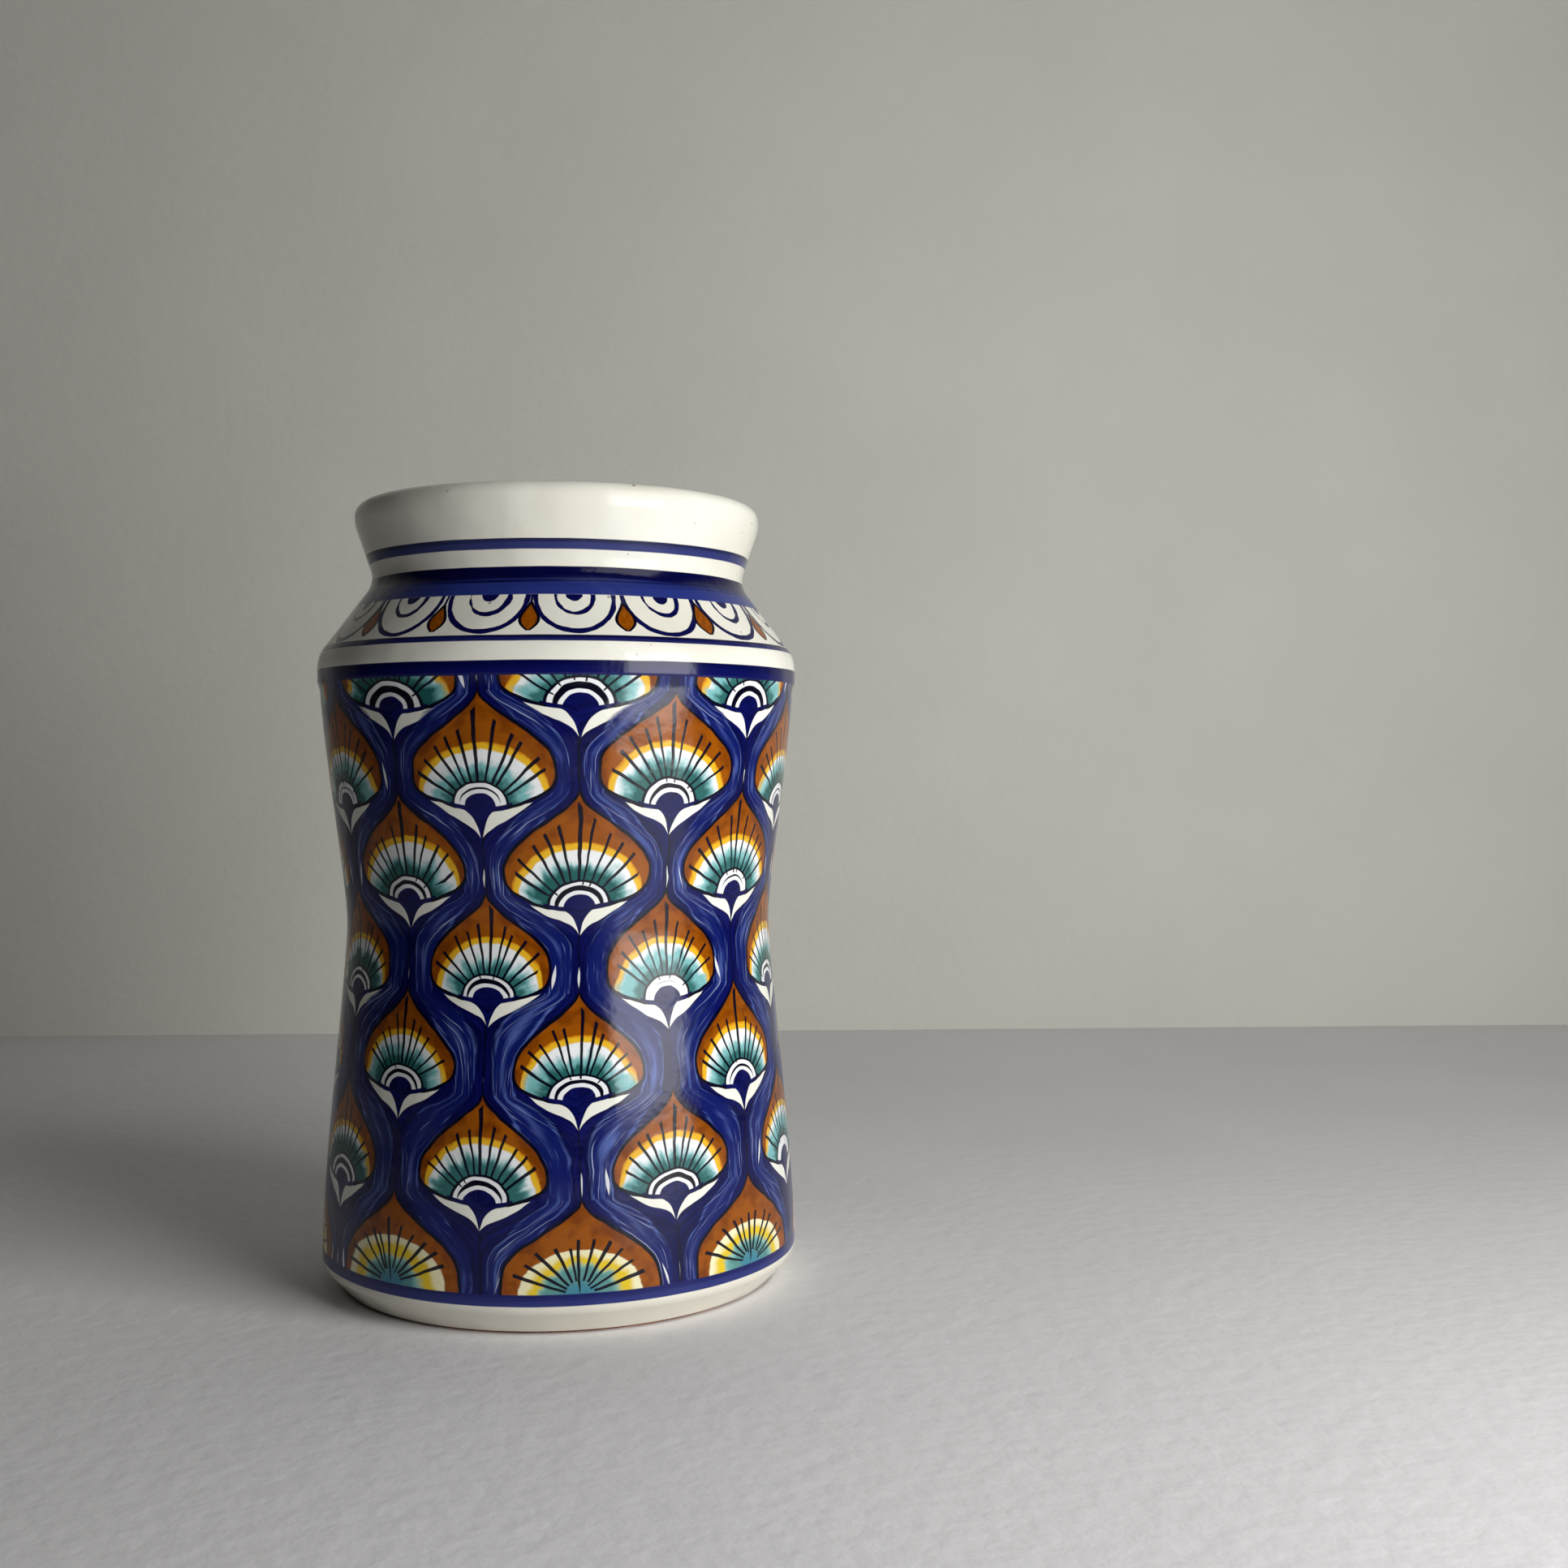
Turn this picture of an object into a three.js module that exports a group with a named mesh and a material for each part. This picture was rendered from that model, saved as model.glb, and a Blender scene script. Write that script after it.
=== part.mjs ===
// A waisted storage jar of the albarello kind: a body thrown and turned in one piece of
// earthenware, with a coat of white tin glaze outside and another inside.
// Millimetres, +Z up. The origin is the middle of the ring that the jar stands on.
import * as THREE from 'three';

// The clay as it is thrown and turned. Radii are to its outer surface, heights are
// above the table.
const clayHeight = 249.5;
const footRadius = 68.7; // outer edge of the ring that touches the table
const footRingWidth = 9;
const footBevelHeight = 8.3; // where the turned bevel meets the wall
const footBevelRound = 3;
const bellyRadius = 76.3; // widest part of the wall, just above the bevel
const bellyUpright = 28; // how gently the wall starts to draw in there
const waistRadius = 67.9;
const waistHeight = 116;
const waistBendBelow = 15;
const waistBendAbove = 12;
const wallTopRadius = 76; // where the wall ends, under the rolled edge of the shoulder
const wallTopHeight = 190;
const wallTopLean = 3.4; // degrees, how far the wall still leans out there
const wallTopBend = 22;
const shoulderRadius = 76.8; // the rolled edge stands a little proud of the wall
const shoulderStepHeight = 2.7; // height of the step from the wall out to the edge
const shoulderHeight = 200.4; // where the edge and the slope would meet unrounded
const shoulderRound = 10;
const neckRadius = 58.6; // where the slope and the flared neck would meet unrounded
const neckHeight = 224.7;
const neckRound = 8.5;
const lipRadius = 64.9;
const lipUpright = 2.2; // height of the lip under its rounded top
const lipUnderRound = 9;
const lipThickness = 8.6;
const lipRound = 4;

// The inside of the clay
const wallThickness = 6;
const floorThickness = 7;
const footRecessDepth = 3.5; // hollow turned under the floor
const footRecessRound = 2.5;
const floorRound = 13; // soft corner between the floor and the wall
const shoulderInsideRound = 7;
const neckInsideRound = 14;

// The glaze
const glazeThickness = 0.5;
const bareFootHeight = 1.2; // the clay below this is wiped bare

// How finely the form is divided
const turnSteps = 48;
const wallSteps = 5;
const insideWallSteps = 3;
const cornerSteps = 3;
const softCornerSteps = 2;

const clayColour = 0xb98a62;
const glazeColour = 0xf3f0e6;
const liningColour = 0xefeade;

// Places on the outline: the distance from the axis, then the height.
const place = (radius, height) => new THREE.Vector2(radius, height);
const above = (here, rise) => place(here.x, here.y + rise);

// The corners of the outside that the rounded outline is drawn between
const foot = place(footRadius, 0);
const bevelTop = place(bellyRadius, footBevelHeight);
const waist = place(waistRadius, waistHeight);
const wallTop = place(wallTopRadius, wallTopHeight);
const shoulderStep = place(shoulderRadius, wallTopHeight + shoulderStepHeight);
const shoulder = place(shoulderRadius, shoulderHeight);
const neck = place(neckRadius, neckHeight);
const lip = place(lipRadius, clayHeight - lipRound - lipUpright);
const lipTop = place(lipRadius, clayHeight);
const crest = place(lipRadius - lipThickness / 2, clayHeight);

// The direction to the left of a run from one place to the next
function leftOf(from, to) {
  return place(from.y - to.y, to.x - from.x).normalize();
}

// Where a corner lies once both runs that meet there have moved to the left
function shiftedCorner(before, corner, after, distance) {
  const first = leftOf(before, corner);
  const second = leftOf(corner, after);
  const middle = first.clone().add(second).normalize();
  return middle.multiplyScalar(distance / middle.dot(first)).add(corner);
}

// A whole outline moved to the left of its direction
function shifted(outline, distance) {
  return outline.map((here, i) => {
    const before = outline[i - 1] ?? here.clone().multiplyScalar(2).sub(outline[i + 1]);
    const after = outline[i + 1] ?? here.clone().multiplyScalar(2).sub(outline[i - 1]);
    return shiftedCorner(before, here, after, distance);
  });
}

// An arc that rounds the corner between two straight runs. It takes up no more than nine
// tenths of the shorter run, so it can't fold over when a size changes.
function rounded(before, corner, after, radius, steps) {
  const back = before.clone().sub(corner);
  const ahead = after.clone().sub(corner);
  const longestRun = 0.9 * Math.min(back.length(), ahead.length());
  back.normalize();
  ahead.normalize();
  const halfAngle = Math.acos(back.dot(ahead)) / 2;
  const run = Math.min(radius / Math.tan(halfAngle), longestRun);
  const arcRadius = run * Math.tan(halfAngle);
  const centre = back.clone().add(ahead).setLength(arcRadius / Math.sin(halfAngle)).add(corner);
  const start = back.clone().multiplyScalar(run).add(corner).sub(centre).angle();
  const turn = Math.PI - 2 * halfAngle;
  const side = Math.sign(ahead.cross(back));
  const arc = new THREE.EllipseCurve(
    centre.x, centre.y, arcRadius, arcRadius, start, start + side * turn, side < 0);
  return arc.getPoints(steps);
}

// The waisted side from the belly to the top of the wall, at a depth inside the clay
function waistedSide(belly, depth, steps) {
  const narrowest = place(waist.x - depth, waist.y);
  const top = place(wallTop.x - depth, wallTop.y);
  const lean = THREE.MathUtils.degToRad(wallTopLean);
  const topHandle = place(-Math.sin(lean), -Math.cos(lean)).multiplyScalar(wallTopBend);
  const lower = new THREE.CubicBezierCurve(
    belly, above(belly, bellyUpright), above(narrowest, -waistBendBelow), narrowest);
  const upper = new THREE.CubicBezierCurve(
    narrowest, above(narrowest, waistBendAbove), topHandle.add(top), top);
  return [...lower.getPoints(steps), ...upper.getPoints(steps).slice(1)];
}

// The clay's outer surface, from the edge of the glaze up to the crest of the lip
function outsideOfClay() {
  const glazeEdge = foot.clone().lerp(bevelTop, bareFootHeight / footBevelHeight);
  const bevel = rounded(foot, bevelTop, waist, footBevelRound, softCornerSteps);
  const belly = bevel.pop();
  return [
    glazeEdge,
    ...bevel,
    ...waistedSide(belly, 0, wallSteps),
    shoulderStep,
    ...rounded(shoulderStep, shoulder, neck, shoulderRound, cornerSteps),
    ...rounded(shoulder, neck, lip, neckRound, cornerSteps),
    ...rounded(neck, lip, lipTop, lipUnderRound, softCornerSteps),
    ...rounded(lip, lipTop, crest, lipRound, cornerSteps),
    crest,
  ];
}

// The clay's inner surface, from the crest of the lip down to the middle of the floor
function insideOfClay() {
  const floorHeight = footRecessDepth + floorThickness;
  const floorMiddle = place(0, floorHeight);
  const floorCorner = place(bellyRadius - wallThickness, floorHeight);
  const wallTopInside = place(wallTopRadius - wallThickness, wallTopHeight);
  const shoulderInside = shiftedCorner(shoulderStep, shoulder, neck, wallThickness);
  const neckInside = shiftedCorner(shoulder, neck, lip, wallThickness);
  const lipInside = place(lipRadius - lipThickness, clayHeight);
  const floorBend = rounded(
    floorMiddle, floorCorner, above(floorCorner, waistHeight), floorRound, softCornerSteps);
  const belly = floorBend.pop();
  const upwards = [
    floorMiddle,
    ...floorBend,
    ...waistedSide(belly, wallThickness, insideWallSteps),
    ...rounded(wallTopInside, shoulderInside, neckInside, shoulderInsideRound, softCornerSteps),
    ...rounded(shoulderInside, neckInside, lipInside, neckInsideRound, softCornerSteps),
    ...rounded(neckInside, lipInside, crest, lipRound, softCornerSteps),
    crest,
  ];
  return upwards.reverse();
}

// The turned foot, from the middle of its hollow out to the ring's outer edge
function underside() {
  const recessMiddle = place(0, footRecessDepth);
  const recessCorner = place(footRadius - footRingWidth, footRecessDepth);
  const ringInside = place(recessCorner.x, 0);
  return [
    recessMiddle,
    ...rounded(recessMiddle, recessCorner, ringInside, footRecessRound, softCornerSteps),
    ringInside,
    foot,
  ];
}

// A solid of revolution about +Z. The outline has the solid on its left.
function turned(outline) {
  return new THREE.LatheGeometry(outline, turnSteps).rotateX(Math.PI / 2);
}

// A coat on a surface of the clay: the surface itself and its copy outside the clay.
// It is drawn along the clay in the clay's own direction, which makes the shared facets
// the same and leaves the coat inside out, so its facets are turned over afterwards.
function coat(outline) {
  const geometry = turned(outline);
  const corners = geometry.getIndex();
  for (let i = 0; i < corners.count; i += 3) {
    const first = corners.getX(i);
    corners.setX(i, corners.getX(i + 1));
    corners.setX(i + 1, first);
  }
  geometry.computeVertexNormals();
  return geometry;
}

function piece(name, geometry, colour, roughness) {
  const material = new THREE.MeshStandardMaterial({ color: colour, roughness, metalness: 0 });
  const mesh = new THREE.Mesh(geometry, material);
  mesh.name = name;
  return mesh;
}

const outside = outsideOfClay();
const inside = insideOfClay();
const outsideOfCoat = shifted(outside, -glazeThickness);
const insideOfCoat = shifted(inside, -glazeThickness);

const clayBody = piece(
  'clay_body', turned([...underside(), ...outside, ...inside.slice(1)]), clayColour, 0.9);
const outerGlaze = piece(
  'outer_glaze', coat([...outside, ...outsideOfCoat.reverse(), outside[0]]), glazeColour, 0.14);
const innerGlaze = piece(
  'inner_glaze', coat([...insideOfCoat.reverse(), ...inside]), liningColour, 0.2);

const glaze = new THREE.Group();
glaze.add(outerGlaze, innerGlaze);

const jar = new THREE.Group();
jar.add(clayBody, glaze);

export default jar;
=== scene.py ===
# %% [markdown]
# # A painted albarello
# This lesson dresses a turned jar in white tin glaze and paints it. The real jar is thrown and
# turned from one lump of earthenware, fired, dipped in white glaze, painted on the raw glaze and
# fired again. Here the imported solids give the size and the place, and Blender adds the smooth
# skin and the painting. Everything is in metres, with Z up.

# %% Load the frame
import math

import bpy
import numpy as np
from mathutils import Matrix


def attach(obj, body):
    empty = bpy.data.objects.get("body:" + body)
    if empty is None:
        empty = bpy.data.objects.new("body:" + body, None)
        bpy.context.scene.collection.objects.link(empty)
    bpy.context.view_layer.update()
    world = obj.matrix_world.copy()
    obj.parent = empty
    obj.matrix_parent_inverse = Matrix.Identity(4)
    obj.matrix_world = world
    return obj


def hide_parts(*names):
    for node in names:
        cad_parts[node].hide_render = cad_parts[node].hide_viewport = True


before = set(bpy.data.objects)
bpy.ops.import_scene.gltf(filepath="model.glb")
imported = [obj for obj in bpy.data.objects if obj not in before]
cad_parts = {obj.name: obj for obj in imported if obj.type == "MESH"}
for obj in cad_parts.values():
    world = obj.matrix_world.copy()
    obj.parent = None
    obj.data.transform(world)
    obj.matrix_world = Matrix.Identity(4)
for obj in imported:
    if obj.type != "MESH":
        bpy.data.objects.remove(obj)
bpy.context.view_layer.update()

MM = 0.001
print("solids:", sorted(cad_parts))

# %% [markdown]
# ## The outline of the jar
# A turned pot is fully told by its outline: how far the surface is from the axis at each height.
# The sizes below are the ones that the solids were made from. The solids turn the outline in 48
# steps, which shows flats in a glossy glaze, so it is drawn again here with many more points.

# %% Sizes of the clay, in millimetres
CLAY_HEIGHT = 249.5
FOOT_RADIUS, FOOT_RING_WIDTH = 68.7, 9
BEVEL_HEIGHT, BEVEL_ROUND = 8.3, 3
BELLY_RADIUS, BELLY_UPRIGHT = 76.3, 28
WAIST_RADIUS, WAIST_HEIGHT = 67.9, 116
WAIST_BEND_BELOW, WAIST_BEND_ABOVE = 15, 12
WALL_TOP_RADIUS, WALL_TOP_HEIGHT = 76, 190
WALL_TOP_LEAN, WALL_TOP_BEND = math.radians(3.4), 22
SHOULDER_RADIUS, SHOULDER_HEIGHT = 76.8, 200.4
SHOULDER_STEP, SHOULDER_ROUND = 2.7, 10
NECK_RADIUS, NECK_HEIGHT, NECK_ROUND = 58.6, 224.7, 8.5
LIP_RADIUS, LIP_UPRIGHT, LIP_UNDER_ROUND = 64.9, 2.2, 9
LIP_THICKNESS, LIP_ROUND = 8.6, 4
WALL_THICKNESS, FLOOR_THICKNESS, FLOOR_ROUND = 6, 7, 13
RECESS_DEPTH, RECESS_ROUND = 3.5, 2.5
SHOULDER_INSIDE_ROUND, NECK_INSIDE_ROUND = 7, 14
GLAZE = 0.5
BARE_FOOT = 1.2  # the clay is wiped bare up to this height
# Three edges that are sharp in the solids, and that the sponge eases on a real jar
STEP_ROUND, RING_INSIDE_ROUND, RING_OUTSIDE_ROUND = 2, 0.8, 0.6


# %% Helpers that draw an outline
def place(radius, height):
    return np.array([radius, height], float)


def unit(run):
    return run / np.hypot(*run)


def rounded(before, corner, after, radius, steps=12):
    """An arc that rounds a corner, and takes no more than nine tenths of the shorter run."""
    back, ahead = before - corner, after - corner
    longest = 0.9 * min(np.hypot(*back), np.hypot(*ahead))
    back, ahead = unit(back), unit(ahead)
    half = math.acos(np.clip(back @ ahead, -1, 1)) / 2
    run = min(radius / math.tan(half), longest)
    size = run * math.tan(half)
    centre = corner + unit(back + ahead) * size / math.sin(half)
    first, last = corner + back * run - centre, corner + ahead * run - centre
    turn = math.atan2(first[0] * last[1] - first[1] * last[0], first @ last)
    angles = math.atan2(first[1], first[0]) + turn * np.linspace(0, 1, steps + 1)
    return [centre + size * np.array([math.cos(a), math.sin(a)]) for a in angles]


def bend(start, first, second, end, steps):
    """A smooth curve from start to end that heads for first and comes from second."""
    t = np.linspace(0, 1, steps + 1)[:, None]
    return list((1 - t) ** 3 * start + 3 * (1 - t) ** 2 * t * first
                + 3 * (1 - t) * t**2 * second + t**3 * end)


def corner_at_depth(before, corner, after, depth):
    """Where a corner lies once both runs have moved depth to their left."""
    runs = (before, corner), (corner, after)
    left = [unit(np.array([start[1] - end[1], end[0] - start[0]])) for start, end in runs]
    middle = unit(left[0] + left[1])
    return corner + middle * depth / (middle @ left[0])


def waisted_side(belly, depth, steps=36):
    """The side from the belly past the waist to the top of the wall, at a depth in the clay."""
    waist = place(WAIST_RADIUS - depth, WAIST_HEIGHT)
    top = place(WALL_TOP_RADIUS - depth, WALL_TOP_HEIGHT)
    up = place(0, 1)
    lean = place(math.sin(WALL_TOP_LEAN), math.cos(WALL_TOP_LEAN))
    lower = bend(belly, belly + up * BELLY_UPRIGHT, waist - up * WAIST_BEND_BELOW, waist, steps)
    upper = bend(waist, waist + up * WAIST_BEND_ABOVE, top - lean * WALL_TOP_BEND, top, steps)
    return lower + upper[1:]


# %% The clay, outside, inside and underneath
foot = place(FOOT_RADIUS, 0)
bevel_top = place(BELLY_RADIUS, BEVEL_HEIGHT)
wall_top = place(WALL_TOP_RADIUS, WALL_TOP_HEIGHT)
step = place(SHOULDER_RADIUS, WALL_TOP_HEIGHT + SHOULDER_STEP)
shoulder = place(SHOULDER_RADIUS, SHOULDER_HEIGHT)
neck = place(NECK_RADIUS, NECK_HEIGHT)
lip = place(LIP_RADIUS, CLAY_HEIGHT - LIP_ROUND - LIP_UPRIGHT)
lip_top = place(LIP_RADIUS, CLAY_HEIGHT)
crest = place(LIP_RADIUS - LIP_THICKNESS / 2, CLAY_HEIGHT)


def clay_outside():
    """From the lower edge of the glaze, just above the foot, up to the crest of the lip."""
    edge = foot + (bevel_top - foot) * BARE_FOOT / BEVEL_HEIGHT
    waist = place(WAIST_RADIUS, WAIST_HEIGHT)
    bevel = rounded(foot, bevel_top, waist, BEVEL_ROUND, steps=8)
    return [edge, (edge + bevel[0]) / 2, *bevel[:-1], *waisted_side(bevel[-1], 0),
            *rounded(wall_top, step, shoulder, STEP_ROUND, steps=4),
            *rounded(step, shoulder, neck, SHOULDER_ROUND),
            *rounded(shoulder, neck, lip, NECK_ROUND),
            *rounded(neck, lip, lip_top, LIP_UNDER_ROUND, steps=8),
            *rounded(lip, lip_top, crest, LIP_ROUND), crest]


def clay_inside():
    """From the middle of the floor up to the crest of the lip."""
    floor = RECESS_DEPTH + FLOOR_THICKNESS
    corner = place(BELLY_RADIUS - WALL_THICKNESS, floor)
    bottom = rounded(place(0, floor), corner, corner + place(0, WAIST_HEIGHT), FLOOR_ROUND)
    side_top = place(WALL_TOP_RADIUS - WALL_THICKNESS, WALL_TOP_HEIGHT)
    under_shoulder = corner_at_depth(step, shoulder, neck, WALL_THICKNESS)
    under_neck = corner_at_depth(shoulder, neck, lip, WALL_THICKNESS)
    lip_inside = place(LIP_RADIUS - LIP_THICKNESS, CLAY_HEIGHT)
    across_the_floor = [place(radius, floor) for radius in (0, 20, 40)]
    return [*across_the_floor, *bottom[:-1],
            *waisted_side(bottom[-1], WALL_THICKNESS, steps=24),
            *rounded(side_top, under_shoulder, under_neck, SHOULDER_INSIDE_ROUND),
            *rounded(under_shoulder, under_neck, lip_inside, NECK_INSIDE_ROUND),
            *rounded(under_neck, lip_inside, crest, LIP_ROUND), crest]


def clay_underside():
    """From the middle of the hollow foot out to the lower edge of the glaze."""
    middle = place(0, RECESS_DEPTH)
    corner = place(FOOT_RADIUS - FOOT_RING_WIDTH, RECESS_DEPTH)
    ring = place(corner[0], 0)
    return [middle, place(30, RECESS_DEPTH),
            *rounded(middle, corner, ring, RECESS_ROUND, steps=6),
            *rounded(corner, ring, foot, RING_INSIDE_ROUND, steps=4),
            *rounded(ring, foot, bevel_top, RING_OUTSIDE_ROUND, steps=4)]


def tidy(outline, gap=0.02):
    """The same outline without points that fall on each other."""
    kept = [outline[0]]
    for here in outline[1:]:
        if np.hypot(*(here - kept[-1])) > gap:
            kept.append(here)
    return np.array(kept)


def outward(outline):
    """The direction away from the axis, at right angles to the outline, at each point."""
    run = np.gradient(outline, axis=0)
    side = np.stack([run[:, 1], -run[:, 0]], axis=1)
    return side / np.linalg.norm(side, axis=1)[:, None]


outside, inside, underside = (tidy(o) for o in (clay_outside(), clay_inside(), clay_underside()))
print(f"outline points: {len(outside)} outside, {len(inside)} inside, {len(underside)} underneath")

# %% [markdown]
# ## Turning the outline into solids
# The outer coat of glaze is half a millimetre thick. Each piece is made as a closed solid, with
# an outer skin, an inner skin that lies on the clay, and edges, so that it could be printed or
# weighed. The coat is made in four quarters, each with a map of its own, so that a picture of the
# painting baked onto it can keep the fine brush lines sharp. The direction of the surface is set at
# each point from the outline, so no joint between the quarters shows in the gloss.

# %% Mesh helpers
QUARTER_STEPS = 48


def turned(outline, angles):
    """The outline turned about Z, as a list of points: all angles of the first, and so on."""
    radius, height = outline[:, 0, None], outline[:, 1, None]
    grid = np.stack([radius * np.sin(angles), -radius * np.cos(angles),
                     height + 0 * angles], axis=-1)
    return grid.reshape(-1, 3)


def make_piece(name, points, faces, smooth_normals=None):
    """A smooth object, whose surface may be told which way it faces at each point."""
    mesh = bpy.data.meshes.new(name)
    mesh.from_pydata(points.tolist(), [], faces)
    mesh.validate()
    mesh.polygons.foreach_set("use_smooth", [True] * len(mesh.polygons))
    if smooth_normals is not None:
        mesh.normals_split_custom_set_from_vertices(smooth_normals.tolist())
    piece = bpy.data.objects.new(name, mesh)
    bpy.context.scene.collection.objects.link(piece)
    return piece


def lathe(name, outline):
    """A closed solid: an outline that starts and ends on the axis, turned all the way round."""
    around = 4 * QUARTER_STEPS
    angles = np.linspace(0, 2 * math.pi, around, endpoint=False)
    rings = turned(outline[1:-1], angles) * MM
    low, high = len(rings), len(rings) + 1
    points = np.vstack([rings, [[0, 0, outline[0][1] * MM], [0, 0, outline[-1][1] * MM]]])
    rows = len(outline) - 2
    faces = []
    for j in range(around):
        k = (j + 1) % around
        faces.append((low, k, j))
        faces += [(i * around + j, i * around + k, (i + 1) * around + k, (i + 1) * around + j)
                  for i in range(rows - 1)]
        faces.append((high, (rows - 1) * around + j, (rows - 1) * around + k))
    return make_piece(name, points, faces)


MAP_MARGIN = 0.003  # left free along each side of the map
HIDDEN_STRIP = 0.03  # the width of the strip that the hidden faces share


def bake_map(mesh, rows, columns, outline):
    """Lays the outer skin on a square map as two strips side by side: lower and upper half."""
    length = np.r_[0, np.cumsum(np.hypot(*np.diff(outline, axis=0).T))]
    half = int(np.searchsorted(length, length[-1] / 2))
    layer = mesh.uv_layers.new(name="OFBake")  # the map that the painting can be baked onto; the export looks for this name
    strip = (1 - HIDDEN_STRIP) / 2
    outer = rows * columns
    for face in mesh.polygons:
        corners = [mesh.loops[n].vertex_index for n in face.loop_indices]
        seen = max(corners) < outer
        row = min(c // columns for c in corners) if seen else 0
        for loop, c in zip(face.loop_indices, corners):
            i, j = divmod(c % outer, columns)
            if seen and row < half:
                u, v = strip * j / (columns - 1), length[i] / length[half]
            elif seen:
                u = strip * (1 + j / (columns - 1))
                v = (length[i] - length[half]) / (length[-1] - length[half])
            else:
                u = 1 - HIDDEN_STRIP * (0.1 + 0.8 * j / (columns - 1))
                v = length[i] / length[-1]
            layer.uv[loop].vector = [MAP_MARGIN + (1 - 2 * MAP_MARGIN) * way for way in (u, v)]


def coat_quarter(name, outer, inner, normals, first_angle):
    """A quarter of a coat as a closed solid, from first_angle on."""
    angles = first_angle + np.linspace(0, math.pi / 2, QUARTER_STEPS + 1)
    columns, rows = len(angles), len(outer)
    last, top = columns - 1, rows - 1
    points = np.concatenate([turned(outer, angles), turned(inner, angles)]) * MM
    facing_out = turned(normals, angles)

    def at(i, j, skin):
        """The number of a point; skin is 0 outside and 1 against the clay."""
        return (skin * rows + i) * columns + j

    faces = []
    for i in range(top):
        for j in range(last):
            faces.append((at(i, j, 0), at(i, j + 1, 0), at(i + 1, j + 1, 0), at(i + 1, j, 0)))
            faces.append((at(i, j, 1), at(i + 1, j, 1), at(i + 1, j + 1, 1), at(i, j + 1, 1)))
        faces.append((at(i, 0, 0), at(i + 1, 0, 0), at(i + 1, 0, 1), at(i, 0, 1)))
        faces.append((at(i, last, 0), at(i, last, 1), at(i + 1, last, 1), at(i + 1, last, 0)))
    for j in range(last):
        faces.append((at(0, j, 0), at(0, j, 1), at(0, j + 1, 1), at(0, j + 1, 0)))
        faces.append((at(top, j, 0), at(top, j + 1, 0), at(top, j + 1, 1), at(top, j, 1)))
    piece = make_piece(name, points, faces, np.vstack([facing_out, -facing_out]))
    bake_map(piece.data, rows, columns, outer)
    return piece


# %% The body, the lining and the four quarters of the outer coat
body = lathe("earthenware_body", np.vstack([underside, outside, inside[::-1][1:]]))
glaze_crest = (crest[0], CLAY_HEIGHT + GLAZE)
lining_face = inside - outward(inside) * GLAZE
lining_face[0] = (0, inside[0][1] + GLAZE)
lining_face[-1] = glaze_crest
lining = lathe("glaze_lining", np.vstack([inside, lining_face[::-1]]))

facing = outward(outside)
facing[-1] = (0, 1)
coat_face = outside + facing * GLAZE
coat_face[-1] = glaze_crest
SIDES = {"front": -45, "right": 45, "back": 135, "left": 225}  # where each starts, in degrees
coat = [coat_quarter(f"painted_glaze_{side}", coat_face, outside, facing, math.radians(first))
        for side, first in SIDES.items()]
print("widest part of the glaze:", round(float(coat_face[:, 0].max()) * 2, 2), "mm across")
print("faces in one quarter of the coat:", len(coat[0].data.polygons))

# %% [markdown]
# ## A small paint box
# In Blender a pattern that isn't a picture is worked out by shader nodes. Hundreds of nodes are
# needed for a painted pattern, so these helpers write them as sums: a Field is a number that
# changes over the surface, and adding or multiplying fields adds a node. A Paint holds a
# material and lays one colour after the other over it, as a brush does.


# %% Fields
class Field:
    """A number or colour that changes over the surface: the output of a shader node."""

    def __init__(self, socket):
        self.socket = socket

    def __add__(self, other):
        return sums("ADD", self, other)

    def __sub__(self, other):
        return sums("SUBTRACT", self, other)

    def __rsub__(self, other):
        return sums("SUBTRACT", other, self)

    def __mul__(self, other):
        return sums("MULTIPLY", self, other)

    def __truediv__(self, other):
        return sums("DIVIDE", self, other)

    def __pow__(self, other):
        return sums("POWER", self, other)

    def __abs__(self):
        return sums("ABSOLUTE", self)

    __radd__ = __add__
    __rmul__ = __mul__


def node_for(values, kind, **settings):
    """A new node in the material that the first field among the values belongs to."""
    tree = next(v.socket.id_data for v in values if isinstance(v, Field))
    node = tree.nodes.new(kind)
    for key, value in settings.items():
        setattr(node, key, value)
    return node


def fill(socket, value):
    """Links a field to a socket, or sets a plain number or colour on it."""
    if isinstance(value, Field):
        socket.id_data.links.new(value.socket, socket)
    else:
        socket.default_value = value


def sums(operation, *values):
    node = node_for(values, "ShaderNodeMath", operation=operation)
    for socket, value in zip(node.inputs, values):
        fill(socket, value)
    return Field(node.outputs[0])


def hypot(x, y):
    return sums("SQRT", sums("MULTIPLY_ADD", x, x, y * y))


def mix(a, b, amount):
    """a where amount is 0 and b where it is 1."""
    return sums("MULTIPLY_ADD", b - a, amount, a)


def below(value, edge, soft=0.1):
    """1 where value is under the edge and 0 where it is over, with a soft step between."""
    if isinstance(edge, Field):
        value, edge = value - edge, 0
    node = node_for([value], "ShaderNodeMapRange", interpolation_type="SMOOTHSTEP")
    for socket, number in zip(node.inputs, (value, edge - soft, edge + soft, 1, 0)):
        fill(socket, number)
    return Field(node.outputs[0])


def over(value, edge, soft=0.1):
    """1 where value is over the edge and 0 where it is under, with a soft step between."""
    return below(value * -1, edge * -1, soft)


def point(x, y, z):
    node = node_for([x, y, z], "ShaderNodeCombineXYZ")
    for socket, value in zip(node.inputs, (x, y, z)):
        fill(socket, value)
    return Field(node.outputs[0])


def parts(vector):
    node = node_for([vector], "ShaderNodeSeparateXYZ")
    fill(node.inputs[0], vector)
    return [Field(socket) for socket in node.outputs]


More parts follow.
